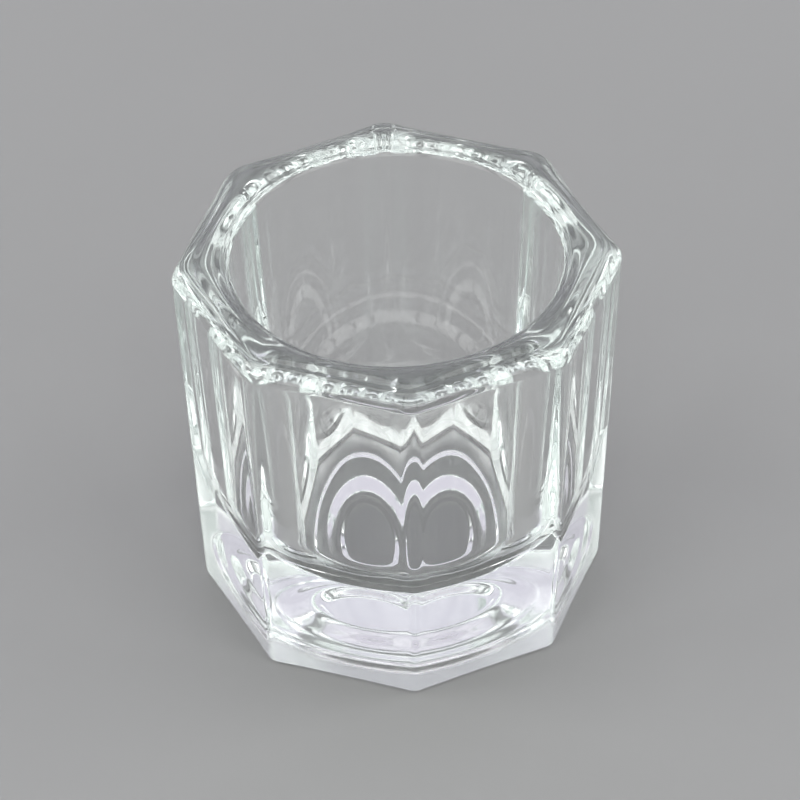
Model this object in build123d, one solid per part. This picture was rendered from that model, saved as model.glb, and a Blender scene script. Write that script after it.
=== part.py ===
from build123d import *
from math import radians, tan
import os

# Octagonal pressed-glass dish for nail liquid or powder, all sizes in millimetres.
# +Z is up, the dish stands on Z = 0 and the axis of its round well is the Z axis.
# Corners of the octagon point along +X, -X, +Y and -Y.

# Outside: an eight-sided block that widens towards the rim
HEIGHT = 30.0
SIDES = 8
FLATS_AT_BASE = 27.2  # across opposite flats, at the resting face
FLATS_AT_RIM = 30.8  # across opposite flats, at the level of the rim
CORNER_RADIUS_AT_BASE = 0.9  # of the eight upright corners, which are sharper near the base
CORNER_RADIUS_AT_RIM = 2.2
BASE_EDGE_ROUND = 0.6
RIM_OUTER_ROUND = 1.3  # the rim is fire-polished, which rounds both its edges
RIM_INNER_ROUND = 0.7

# Well: a round hollow, drafted so that the plunger of the mould leaves it
WELL_MOUTH_RADIUS = 12.15  # at the level of the rim, before its edge is rounded
WELL_DRAFT = 4.0  # degrees
WELL_FLOOR = 6.6  # height of the well's floor above the resting face
WELL_FLOOR_ROUND = 4.8  # between the floor and the wall

# Underside: a shallow round recess with a groove in it, which leaves a ring to stand on
PAD_RADIUS = 3.4  # the flat in the middle
PAD_DEPTH = 1.0
GROOVE_RADIUS = 4.6  # of the deepest line of the groove around the pad
GROOVE_DEPTH = 1.6
SHELF_INNER_RADIUS = 7.6  # the nearly flat ring between the groove and the mouth of the recess
SHELF_INNER_DEPTH = 0.7
SHELF_OUTER_RADIUS = 9.2
SHELF_OUTER_DEPTH = 0.6
RECESS_MOUTH_RADIUS = 10.5
RECESS_ROUND = 1.5  # where the slopes of the recess meet

# A cutting shape runs this far past the face that it opens through
PAST_FACE = 2.0


def rounded_octagon(height, across_flats, corner_radius):
    """The outline of the outside at one height."""
    outline = RegularPolygon(across_flats / 2, SIDES, major_radius=False)
    return Pos(0, 0, height) * fillet(outline.vertices(), corner_radius)


def half_section(points):
    """A flat face of (radius, height) points, drawn in the XY plane until it is turned."""
    return make_face(Polyline(*points, close=True))


def rounded_at(section, corners, radius):
    """The same half section with the corners at these (radius, height) points rounded."""
    return fillet([section.vertices().sort_by_distance((*corner, 0))[0] for corner in corners], radius)


def turned(section):
    """The round solid that a half section sweeps about the Z axis."""
    return revolve(Plane.XZ * section, Axis.Z)


def outer_block():
    """The drafted eight-sided block, still solid, with its two outer edges rounded."""
    base = rounded_octagon(0, FLATS_AT_BASE, CORNER_RADIUS_AT_BASE)
    top = rounded_octagon(HEIGHT, FLATS_AT_RIM, CORNER_RADIUS_AT_RIM)
    block = loft([base, top])
    block = fillet(block.faces().sort_by(Axis.Z)[-1].edges(), RIM_OUTER_ROUND)
    return fillet(block.faces().sort_by(Axis.Z)[0].edges(), BASE_EDGE_ROUND)


def well_space():
    """The space inside the well, from its floor to above the rim."""
    top = HEIGHT + PAST_FACE
    lean = tan(radians(WELL_DRAFT))
    floor_radius = WELL_MOUTH_RADIUS - (HEIGHT - WELL_FLOOR) * lean
    top_radius = WELL_MOUTH_RADIUS + PAST_FACE * lean
    section = half_section([(0, WELL_FLOOR), (floor_radius, WELL_FLOOR), (top_radius, top), (0, top)])
    return turned(rounded_at(section, [(floor_radius, WELL_FLOOR)], WELL_FLOOR_ROUND))


def recess_space():
    """The space under the base: a pad in the middle, a groove around it, a shelf and the mouth."""
    ceiling = [
        (PAD_RADIUS, PAD_DEPTH),
        (GROOVE_RADIUS, GROOVE_DEPTH),
        (SHELF_INNER_RADIUS, SHELF_INNER_DEPTH),
        (SHELF_OUTER_RADIUS, SHELF_OUTER_DEPTH),
    ]
    mouth = [(RECESS_MOUTH_RADIUS, 0), (RECESS_MOUTH_RADIUS, -PAST_FACE), (0, -PAST_FACE)]
    section = half_section([(0, PAD_DEPTH), *ceiling, *mouth])
    return turned(rounded_at(section, ceiling, RECESS_ROUND))


def glass_dish():
    """The whole dish: one pressing, so one solid."""
    dish = outer_block() - well_space() - recess_space()
    mouth = dish.edges().filter_by(GeomType.CIRCLE).sort_by(Axis.Z)[-1]
    return fillet(mouth, RIM_INNER_ROUND)


os.makedirs("parts", exist_ok=True)
export_step(glass_dish(), "parts/glass_dish.step")
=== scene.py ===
import math

import bpy
import numpy as np
from mathutils import Matrix, Vector


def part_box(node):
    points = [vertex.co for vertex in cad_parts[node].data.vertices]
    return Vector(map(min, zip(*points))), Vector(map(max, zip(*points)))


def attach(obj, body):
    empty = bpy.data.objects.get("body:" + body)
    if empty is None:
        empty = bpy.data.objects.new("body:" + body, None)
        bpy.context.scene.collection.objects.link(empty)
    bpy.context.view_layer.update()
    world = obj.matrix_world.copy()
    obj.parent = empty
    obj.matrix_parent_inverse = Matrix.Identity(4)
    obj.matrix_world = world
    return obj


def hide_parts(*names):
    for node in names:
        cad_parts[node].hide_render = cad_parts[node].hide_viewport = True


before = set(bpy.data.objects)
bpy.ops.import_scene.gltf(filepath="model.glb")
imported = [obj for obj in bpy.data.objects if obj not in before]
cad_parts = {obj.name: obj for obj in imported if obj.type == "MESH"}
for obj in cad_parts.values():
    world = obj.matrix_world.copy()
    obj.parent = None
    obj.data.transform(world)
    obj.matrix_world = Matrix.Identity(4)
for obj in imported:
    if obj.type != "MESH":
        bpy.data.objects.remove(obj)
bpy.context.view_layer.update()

# The object is one pressing of clear glass, so the visual model is one closed mesh. It is drawn
# as a stack of closed rings, from the middle of the underside, out and up the eight sides, over
# the rim and down into the well. Every length is in metres. The dish stands on Z = 0, its well is
# on the Z axis and the corners of its octagon lie on the X and Y axes, as in the CAD.
MM = 0.001
LOWEST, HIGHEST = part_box("glass_dish")
HEIGHT = HIGHEST.z - LOWEST.z

# Eight sides that lean outwards
SIDES = 8
STEP = 2 * math.pi / SIDES
CORNER_ROUND = 2.2 * MM  # at the rim; the corners are sharper at the base
CORNER_ROUND_AT_BASE = 0.9 * MM
APOTHEM_UNDER_RIM = (HIGHEST.x - CORNER_ROUND) * math.cos(STEP / 2) + CORNER_ROUND
SIDE_LEAN = 1.7 * MM  # how far each side comes in from the rim to the base
APOTHEM_AT_BASE = APOTHEM_UNDER_RIM - SIDE_LEAN
SIDE_HOLLOW = 0.05 * MM  # glass shrinks as it cools, so each side is a little hollow
BASE_ROUND = 0.6 * MM

# Fire-polished rim: the outer edge has melted further down than in
RIM_ROUND_OUT = 1.1 * MM
RIM_ROUND_DOWN = 1.4 * MM
RIM_ROUND_IN = 0.6 * MM
RIM_DOME = 0.3 * MM

# Well
MOUTH_RADIUS = 12.1 * MM
WELL_DRAFT = math.radians(4.0)
WELL_FLOOR = 6.6 * MM
WELL_FLOOR_ROUND = 4.8 * MM

# Recess under the base, from its middle outwards: pad, groove, shelf and mouth, (radius, height)
RECESS = [
    (0, 1.0 * MM),
    (3.4 * MM, 1.0 * MM),
    (4.6 * MM, 1.6 * MM),
    (7.6 * MM, 0.7 * MM),
    (9.2 * MM, 0.6 * MM),
    (10.5 * MM, 0),
]

# Waviness that pressing and fire-polishing leave
SIDE_WAVE = 0.006 * MM  # height of the waves on each surface
RIM_WAVE = 0.025 * MM
WELL_WAVE = 0.004 * MM
WAVE_LENGTH = 8.0 * MM  # on the sides and in the well
WAVE_LENGTH_SPREAD = (0.7, 1.6)
WAVE_COUNT = 14
RIM_FLOW_TURNS = (1, 6)  # waves in one turn of the rim, fewest and most
RIM_FLOW_WIDTH = 2.0 * MM  # across the rim the waves are this long, so they run along it
RIM_FLOW_SPREAD = (0.8, 2.5)
RIM_FLOW_COUNT = 12
WAVE_BLEND = 4  # rings each side of an edge, over which the waves of one surface fade into the next
SIDE_SEED = 5
RIM_SEED = 8

# How finely the mesh is divided
CORNER_POINTS = 12  # around one corner, and along one side
FLAT_POINTS = 24
RECESS_RINGS = 12  # for each of the slopes and flats of the recess
FOOT_RINGS = 6
BASE_ROUND_RINGS = 8
SIDE_RINGS = 40
RIM_OUT_RINGS = 20
RIM_TOP_RINGS = 12
RIM_IN_RINGS = 14
WALL_RINGS = 30
WELL_ROUND_RINGS = 20
WELL_FLOOR_RINGS = 8


# ---- The dish ---------------------------------------------------------------------------------

def bearings():
    """The angles at which every ring has a point, close together through the rounded corners."""
    flat_half = (APOTHEM_UNDER_RIM - CORNER_ROUND) * math.tan(STEP / 2)
    corner_half = STEP / 2 - math.atan2(flat_half, APOTHEM_UNDER_RIM)
    angles = []
    for side_number in range(SIDES):
        corner = side_number * STEP
        flat_start = corner + corner_half
        flat_end = corner + STEP - corner_half
        angles += list(np.linspace(corner - corner_half, flat_start, CORNER_POINTS, endpoint=False))
        angles += list(np.linspace(flat_start, flat_end, FLAT_POINTS, endpoint=False))
    return np.array(angles)


AROUND = bearings()


def octagon(apothem, rounding=CORNER_ROUND):
    """Radius at every bearing of an octagon with rounded corners and faintly hollow sides."""
    from_corner = np.abs((AROUND + STEP / 2) % STEP - STEP / 2)
    from_middle = STEP / 2 - from_corner
    flat_end = math.atan2((apothem - rounding) * math.tan(STEP / 2), apothem)
    hollow = SIDE_HOLLOW * (1 - np.minimum(from_middle / flat_end, 1) ** 2)
    flat = (apothem - hollow) / np.cos(from_middle)
    centre = (apothem - rounding) / math.cos(STEP / 2)
    reach = np.maximum(rounding ** 2 - (centre * np.sin(from_corner)) ** 2, 0)
    corner = centre * np.cos(from_corner) + np.sqrt(reach)
    return np.where(from_middle <= flat_end, flat, corner)


def ring(radius, height):
    """One closed ring: a radius at every bearing, all at one height."""
    radius = np.broadcast_to(radius, AROUND.shape)
    level = np.full(len(AROUND), height)
    return np.stack([radius * np.cos(AROUND), radius * np.sin(AROUND), level], axis=1)


def steps(start, end, count):
    """Evenly spaced values up to the end, without the start, which the ring before has."""
    return np.linspace(start, end, count + 1)[1:]


def underside():
    """The pad, groove, shelf and mouth of the recess, which flow into each other."""
    rings = []
    for (radius, height), (next_radius, next_height) in zip(RECESS, RECESS[1:]):
        for part in steps(0, 1, RECESS_RINGS):
            eased = 0.5 - 0.5 * math.cos(math.pi * part)
            at_radius = radius + (next_radius - radius) * part
            rings.append(ring(at_radius, height + (next_height - height) * eased))
    return rings


def side(height, inset=0.0):
    """The outline at one height of the sides, or of a line this far inside it."""
    part = height / (HEIGHT - RIM_ROUND_DOWN)
    apothem = APOTHEM_AT_BASE + (APOTHEM_UNDER_RIM - APOTHEM_AT_BASE) * part
    rounding = CORNER_ROUND_AT_BASE + (CORNER_ROUND - CORNER_ROUND_AT_BASE) * part
    return octagon(apothem - inset, rounding)


def outside():
    """The ring that the dish stands on, the rounded lower edge and the eight sides."""
    recess_mouth = RECESS[-1][0]
    foot = side(0, BASE_ROUND)
    rings = []
    for part in steps(0, 1, FOOT_RINGS):
        rings.append(ring(recess_mouth + (foot - recess_mouth) * part, 0))
    for turn in steps(0, math.pi / 2, BASE_ROUND_RINGS):
        height = BASE_ROUND * (1 - math.cos(turn))
        rings.append(ring(side(height, BASE_ROUND * (1 - math.sin(turn))), height))
    for height in steps(BASE_ROUND, HEIGHT - RIM_ROUND_DOWN - RIM_DOME, SIDE_RINGS):
        rings.append(ring(side(height), height))
    return rings


def rim():
    """The melted outer edge, the faintly domed top and the rounded inner edge."""
    shoulder = HEIGHT - RIM_DOME
    rings = []
    for turn in steps(0, math.pi / 2, RIM_OUT_RINGS):
        apothem = APOTHEM_UNDER_RIM - RIM_ROUND_OUT * (1 - math.cos(turn))
        rings.append(ring(octagon(apothem), shoulder - RIM_ROUND_DOWN * (1 - math.sin(turn))))
    outer = octagon(APOTHEM_UNDER_RIM - RIM_ROUND_OUT)
    inner = MOUTH_RADIUS + RIM_ROUND_IN
    for part in steps(0, 1, RIM_TOP_RINGS):
        dome = RIM_DOME * math.sin(math.pi * part)
        rings.append(ring(outer + (inner - outer) * part, shoulder + dome))
    for turn in steps(0, math.pi / 2, RIM_IN_RINGS):
        drop = RIM_ROUND_IN * (1 - math.cos(turn))
        rings.append(ring(inner - RIM_ROUND_IN * math.sin(turn), shoulder - drop))
    return rings


def well():
    """The drafted wall of the well, its rounded foot and its floor, down to the last ring."""
    lean = math.tan(WELL_DRAFT)
    mouth = HEIGHT - RIM_DOME - RIM_ROUND_IN
    wall_foot = WELL_FLOOR + WELL_FLOOR_ROUND
    floor_radius = MOUTH_RADIUS - (mouth - wall_foot) * lean - WELL_FLOOR_ROUND
    rings = []
    for height in steps(mouth, wall_foot, WALL_RINGS):
        rings.append(ring(MOUTH_RADIUS - (mouth - height) * lean, height))
    for turn in steps(0, math.pi / 2, WELL_ROUND_RINGS):
        radius = floor_radius + WELL_FLOOR_ROUND * math.cos(turn)
        rings.append(ring(radius, wall_foot - WELL_FLOOR_ROUND * math.sin(turn)))
    for part in steps(1, 0, WELL_FLOOR_RINGS)[:-1]:
        rings.append(ring(floor_radius * part, WELL_FLOOR))
    return rings


def ripple(points, length, seed):
    """Smooth irregular waves of about unit height: sines in fixed random directions."""
    random = np.random.default_rng(seed)
    total = np.zeros(points.shape[:-1])
    for _ in range(WAVE_COUNT):
        direction = random.normal(size=3)
        direction /= np.linalg.norm(direction)
        pitch = 2 * math.pi / (length * random.uniform(*WAVE_LENGTH_SPREAD))
        total += np.sin(points @ direction * pitch + random.uniform(0, 2 * math.pi))
    return total / math.sqrt(WAVE_COUNT / 2)


def rim_flow(points, seed):
    """Waves of about unit height that run along the rim, like glass that has softened and run."""
    random = np.random.default_rng(seed)
    angle = np.arctan2(points[..., 1], points[..., 0])
    across = np.hypot(points[..., 0], points[..., 1]) - points[..., 2]
    total = np.zeros(angle.shape)
    for _ in range(RIM_FLOW_COUNT):
        turns = random.integers(*RIM_FLOW_TURNS)
        pitch = 2 * math.pi / (RIM_FLOW_WIDTH * random.uniform(*RIM_FLOW_SPREAD))
        total += np.sin(angle * turns + across * pitch + random.uniform(0, 2 * math.pi))
    return total / math.sqrt(RIM_FLOW_COUNT / 2)


def outward(grid):
    """The direction out of the glass at every point of the stacked rings."""
    up_the_stack = np.gradient(grid, axis=0)
    closed = np.concatenate([grid[:, -1:], grid, grid[:, :1]], axis=1)
    around = closed[:, 2:] - closed[:, :-2]
    normal = np.cross(around, up_the_stack)
    return normal / np.linalg.norm(normal, axis=2, keepdims=True)


def eased_weight(weight_of_surface, surfaces):
    """One number for each ring, blended where two surfaces meet, and 0 under the base."""
    weight = np.concatenate([np.full(len(s), w) for s, w in zip(surfaces, weight_of_surface)])
    window = 2 * WAVE_BLEND + 1
    padded = np.pad(weight, WAVE_BLEND, mode="edge")
    blended = np.convolve(padded, np.full(window, 1 / window), mode="valid")
    resting = len(surfaces[0]) + FOOT_RINGS
    blended[:resting] = 0
    return blended[:, None]


def pressed_grid():
    """Every ring of the dish, moved in or out by the waviness of pressed glass."""
    surfaces = [underside(), outside(), rim(), well()]
    grid = np.array(sum(surfaces, []))
    side_and_well = eased_weight((0, SIDE_WAVE, 0, WELL_WAVE), surfaces)
    rim_only = eased_weight((0, 0, RIM_WAVE, 0), surfaces)
    waves = side_and_well * ripple(grid, WAVE_LENGTH, SIDE_SEED)
    flow = rim_only * rim_flow(grid, RIM_SEED)
    return grid + outward(grid) * (waves + flow)[:, :, None]


def smooth_mesh(name, points, faces):
    """A mesh whose faces are all shaded smooth."""
    mesh = bpy.data.meshes.new(name)
    mesh.from_pydata(points, [], faces)
    mesh.polygons.foreach_set("use_smooth", [True] * len(mesh.polygons))
    mesh.update()
    return mesh


def dish_mesh():
    """The closed mesh: quads between the rings, and a fan in the middle of each end."""
    grid = pressed_grid()
    rows, count = grid.shape[:2]
    ends = [[0, 0, RECESS[0][1]], [0, 0, WELL_FLOOR]]
    points = np.concatenate([grid.reshape(-1, 3), ends])
    under_middle = rows * count
    well_middle = under_middle + 1
    last_row = (rows - 1) * count
    faces = []
    for i in range(count):
        j = (i + 1) % count
        faces.append((under_middle, j, i))
        faces.append((well_middle, last_row + i, last_row + j))
        for row in range(0, last_row, count):
            faces.append((row + i, row + j, row + count + j, row + count + i))
    return smooth_mesh("glass_dish_body", points.tolist(), faces)


def place(name, mesh, material):
    """A new object in the scene, with one mesh and one material."""
    thing = bpy.data.objects.new(name, mesh)
    bpy.context.scene.collection.objects.link(thing)
    mesh.materials.append(material)
    return thing


# ---- Materials --------------------------------------------------------------------------------

GLASS_IOR = 1.52  # soda-lime glass
GREEN_DEPTH = (0.80, 0.95, 0.88, 1)  # the colour that thick glass takes on
GREEN_DENSITY = 9.0
FILM_SIZE = 7 * MM  # soft patches left by fingers and cleaning
FILM_RANGE = (0.52, 0.75)  # of the noise, from clean glass to the middle of a patch
FILM_ROUGH = 0.035
FOOT_ROUGH = 0.22  # the ring that the dish stands on is worn matt
FOOT_HEIGHTS = (0.05 * MM, 0.3 * MM)
RECESS_ROUGH = 0.10  # and the recess is duller than the sides
RECESS_HEIGHTS = (1.8 * MM, 2.4 * MM)
RIM_ROUGH = 0.09
RIM_HEIGHTS = (HEIGHT - 4 * MM, HEIGHT - 2 * MM)
POLISH_SIZE = 2.4 * MM
DRAW_SIZE = 0.9 * MM  # draw marks are long up and down, where the mould slid
DRAW_STRETCH = (1, 1, 0.06)
DRAW_SHARE = 0.25  # how high they stand beside the polish ripple
RIPPLE_HEIGHT = 0.0006 * MM

PAPER_DARK = (0.232, 0.235, 0.232, 1)
PAPER_LIGHT = (0.247, 0.250, 0.247, 1)
PAPER_PATCH = 30 * MM
PAPER_ROUGH = 0.6


class Nodes:
    """Short names for adding and joining the nodes of one material."""

    def __init__(self, name):
        self.material = bpy.data.materials.new(name)
        self.material.use_nodes = True
        self.tree = self.material.node_tree
        self.surface = self.tree.nodes["Principled BSDF"]
        self.output = self.tree.nodes["Material Output"]

    def add(self, kind, **inputs):
        """A new node; an input given as a socket is linked, and any other is set."""
        node = self.tree.nodes.new(kind)
        for name, value in inputs.items():
            self.put(node, name.replace("_", " "), value)
        return node

    def put(self, node, name, value):
        """Link or set one input of a node."""
        socket = node.inputs[name]
        if isinstance(value, bpy.types.NodeSocket):
            self.tree.links.new(value, socket)
        else:
            socket.default_value = value

    def ramp(self, value, low_high, from_to):
        """A value moved smoothly from one range to another."""
        node = self.add(
            "ShaderNodeMapRange",
            Value=value,
            From_Min=low_high[0],
            From_Max=low_high[1],
            To_Min=from_to[0],
            To_Max=from_to[1],
        )
        node.interpolation_type = "SMOOTHSTEP"
        return node.outputs["Result"]

    def noise(self, position, size, detail=2.0):
        """Soft noise, about 0.5 on average, whose blotches are this many metres across."""
        node = self.add("ShaderNodeTexNoise", Vector=position, Scale=1 / size, Detail=detail)
        return node.outputs["Fac"]

    def sum(self, first, *others):
        """Two or more values added together."""
        total = first
        for value in others:
            node = self.add("ShaderNodeMath")
            node.operation = "ADD"
            self.tree.links.new(total, node.inputs[0])
            self.tree.links.new(value, node.inputs[1])
            total = node.outputs["Value"]
        return total


def clear_glass():
    """Clear pressed glass: polish ripple, draw marks, worn underside, film and a green depth."""
    glass = Nodes("clear_glass")
    position = glass.add("ShaderNodeTexCoord").outputs["Object"]
    stretched = glass.add("ShaderNodeMapping", Vector=position, Scale=DRAW_STRETCH).outputs["Vector"]
    height = glass.add("ShaderNodeSeparateXYZ", Vector=position).outputs["Z"]

    film = glass.ramp(glass.noise(position, FILM_SIZE, detail=5), FILM_RANGE, (0.0, FILM_ROUGH))
    foot = glass.ramp(height, FOOT_HEIGHTS, (FOOT_ROUGH, 0.0))
    rim_haze = glass.ramp(height, RIM_HEIGHTS, (0.0, RIM_ROUGH))
    recess_wear = glass.ramp(height, RECESS_HEIGHTS, (RECESS_ROUGH, 0.0))
    glass.put(glass.surface, "Roughness", glass.sum(film, foot, recess_wear, rim_haze))

    polish_height = glass.ramp(glass.noise(position, POLISH_SIZE), (0, 1), (0, 1))
    draw_height = glass.ramp(glass.noise(stretched, DRAW_SIZE, detail=3), (0, 1), (0, DRAW_SHARE))
    relief = glass.sum(polish_height, draw_height)
    bump = glass.add("ShaderNodeBump", Height=relief, Strength=1.0, Distance=RIPPLE_HEIGHT)
    glass.put(glass.surface, "Normal", bump.outputs["Normal"])

    glass.put(glass.surface, "Base Color", (1, 1, 1, 1))
    glass.put(glass.surface, "IOR", GLASS_IOR)
    glass.put(glass.surface, "Transmission Weight", 1.0)
    depth = glass.add("ShaderNodeVolumeAbsorption", Color=GREEN_DEPTH, Density=GREEN_DENSITY)
    glass.put(glass.output, "Volume", depth.outputs["Volume"])
    return glass.material


def pale_paper():
    """The matt paper that the dish stands on."""
    paper = Nodes("pale_paper")
    position = paper.add("ShaderNodeTexCoord").outputs["Object"]
    tone = paper.add("ShaderNodeMix", Factor=paper.noise(position, PAPER_PATCH, detail=4))
    tone.data_type = "RGBA"
    tone.inputs["A"].default_value = PAPER_DARK
    tone.inputs["B"].default_value = PAPER_LIGHT
    paper.put(paper.surface, "Base Color", tone.outputs["Result"])
    paper.put(paper.surface, "Roughness", PAPER_ROUGH)
    return paper.material


# ---- Studio -----------------------------------------------------------------------------------

FLOOR_RADII = (0.2, 0.5, 0.9)  # rings of the flat part, which reaches beyond every camera
FLOOR_POINTS = 96
SWEEP_ROUND = 0.6
SWEEP_TURN = math.radians(22)
SWEEP_RINGS = 16
FLOOR_GAP = 0.05 * MM

TENT_RADIUS = 1.7
TENT_FOOT = math.radians(3)  # elevations of the lower and upper ends of the gores
TENT_HEAD = math.radians(66)
TOP_GAP = math.radians(4)  # between the gores and the round top
TENT_CROWN = math.pi / 2 - 0.001  # the panels of the top stop just short of the zenith
PANEL_DIVISIONS = 12
GORES = 8
KEY_GORES = 2  # on each side of the one in front; a single panel takes the place of the rest
GORE_SEAM = math.radians(7)  # a dark slit between two gores, which draws dark lines in the glass
KEY = (2.3, 2.3, 2.3)  # radiance of the tent in front, at the sides and above
BACK = (0.74, 0.71, 0.81)  # and behind the dish, where the base looks straight at it
ROOM = 0.04  # faint light from outside the tent

EYE_AZIMUTH = math.radians(-2.9)
EYE_ELEVATION = math.radians(40.2)
EYE_ROLL = math.radians(-1.18)
EYE_DISTANCE = 0.6
EYE_TARGET = Vector((0.05 * MM, 0, 16.0 * MM))
EYE_LENS = 366.4
EYE_SENSOR = 36
EYE_NEAR = 0.01

BOUNCES = 32
MIRROR_BOUNCES = 16


def sweep_mesh():
    """A round paper sweep: flat in the middle, curving up into a low wall all round."""
    profile = [(radius, 0) for radius in FLOOR_RADII]
    for turn in steps(0, SWEEP_TURN, SWEEP_RINGS):
        across = FLOOR_RADII[-1] + SWEEP_ROUND * math.sin(turn)
        profile.append((across, SWEEP_ROUND * (1 - math.cos(turn))))
    points = [(0, 0, -FLOOR_GAP)]
    for radius, height in profile:
        for turn in np.linspace(0, 2 * math.pi, FLOOR_POINTS, endpoint=False):
            points.append((radius * math.cos(turn), radius * math.sin(turn), height - FLOOR_GAP))
    faces = [(0, 1 + i, 1 + (i + 1) % FLOOR_POINTS) for i in range(FLOOR_POINTS)]
    for row in range(len(profile) - 1):
        near = 1 + row * FLOOR_POINTS
        far = near + FLOOR_POINTS
        for i in range(FLOOR_POINTS):
            j = (i + 1) % FLOOR_POINTS
            faces.append((near + i, far + i, far + j, near + j))
    return smooth_mesh("floor", points, faces)


def floor():
    """The paper sweep, a hair below the dish."""
    place("floor", sweep_mesh(), pale_paper())


def towards(azimuth, elevation):
    """The direction of something seen from the dish; azimuth 0 is in front of it, in -Y."""
    level = math.cos(elevation)
    return Vector((math.sin(azimuth) * level, -math.cos(azimuth) * level, math.sin(elevation)))


def glow(name, radiance):
    """White cloth lit from behind: the same brightness all over."""
    material = bpy.data.materials.new(name)
    material.use_nodes = True
    nodes = material.node_tree.nodes
    nodes.remove(nodes["Principled BSDF"])
    light = nodes.new("ShaderNodeEmission")
    light.inputs["Color"].default_value = (*radiance, 1)
    surface = nodes["Material Output"].inputs["Surface"]
    material.node_tree.links.new(light.outputs["Emission"], surface)
    return material


def tent_panel(name, azimuths, elevations, material):
    """One curved panel of the tent, between two azimuths and two elevations."""
    across = PANEL_DIVISIONS + 1
    points = []
    for azimuth in np.linspace(*azimuths, across):
        for elevation in np.linspace(*elevations, across):
            points.append(towards(azimuth, elevation) * TENT_RADIUS)
    faces = []
    for column in range(PANEL_DIVISIONS):
        for i in range(column * across, column * across + PANEL_DIVISIONS):
            faces.append((i, i + 1, i + across + 1, i + across))
    mesh = bpy.data.meshes.new(name)
    mesh.from_pydata(points, [], faces)
    place(name, mesh, material)


def room_light():
    """The faint even light that comes in through the slits of the tent."""
    world = bpy.data.worlds.new("studio")
    bpy.context.scene.world = world
    world.use_nodes = True
    background = world.node_tree.nodes["Background"]
    background.inputs["Color"].default_value = (1, 1, 1, 1)
    background.inputs["Strength"].default_value = ROOM


def tent():
    """A white tent: upright gores, one wide panel behind the dish, dark slits and a round top."""
    key = glow("tent_key", KEY)
    back = glow("tent_back", BACK)
    width = 2 * math.pi / GORES
    upright = (TENT_FOOT, TENT_HEAD)
    for gore in range(-KEY_GORES, KEY_GORES + 1):
        edges = ((gore - 0.5) * width + GORE_SEAM / 2, (gore + 0.5) * width - GORE_SEAM / 2)
        tent_panel("tent_gore_%d" % (gore + KEY_GORES), edges, upright, key)
    last = KEY_GORES + 0.5
    edges = (last * width + GORE_SEAM / 2, (GORES - last) * width - GORE_SEAM / 2)
    tent_panel("tent_back", edges, upright, back)
    for gore in range(GORES):
        edges = (gore * width, gore * width + width)
        tent_panel("tent_top_%d" % gore, edges, (TENT_HEAD + TOP_GAP, TENT_CROWN), key)


def camera():
    """A long lens in front of the dish and above it, turned slightly about its own axis."""
    back = towards(EYE_AZIMUTH, EYE_ELEVATION)
    right = Vector((math.cos(EYE_AZIMUTH), math.sin(EYE_AZIMUTH), 0))
    up = back.cross(right)
    rolled_right = math.cos(EYE_ROLL) * right + math.sin(EYE_ROLL) * up
    rolled_up = math.cos(EYE_ROLL) * up - math.sin(EYE_ROLL) * right
    eye = bpy.data.objects.new("camera", bpy.data.cameras.new("camera"))
    bpy.context.scene.collection.objects.link(eye)
    axes = Matrix((rolled_right, rolled_up, back)).transposed().to_4x4()
    eye.matrix_world = Matrix.Translation(EYE_TARGET + back * EYE_DISTANCE) @ axes
    eye.data.sensor_width = EYE_SENSOR
    eye.data.lens = EYE_LENS
    eye.data.clip_start = EYE_NEAR
    bpy.context.scene.camera = eye


def light_paths():
    """Enough bounces for light to find its way through thick glass, and plain colours."""
    scene = bpy.context.scene
    scene.cycles.max_bounces = BOUNCES
    scene.cycles.transmission_bounces = BOUNCES
    scene.cycles.glossy_bounces = MIRROR_BOUNCES
    scene.cycles.use_denoising = True
    scene.view_settings.view_transform = "Standard"


# ---- Putting it together ----------------------------------------------------------------------

dish = place("glass_dish_body", dish_mesh(), clear_glass())
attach(dish, "root")
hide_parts("glass_dish")

room_light()
floor()
tent()
camera()
light_paths()
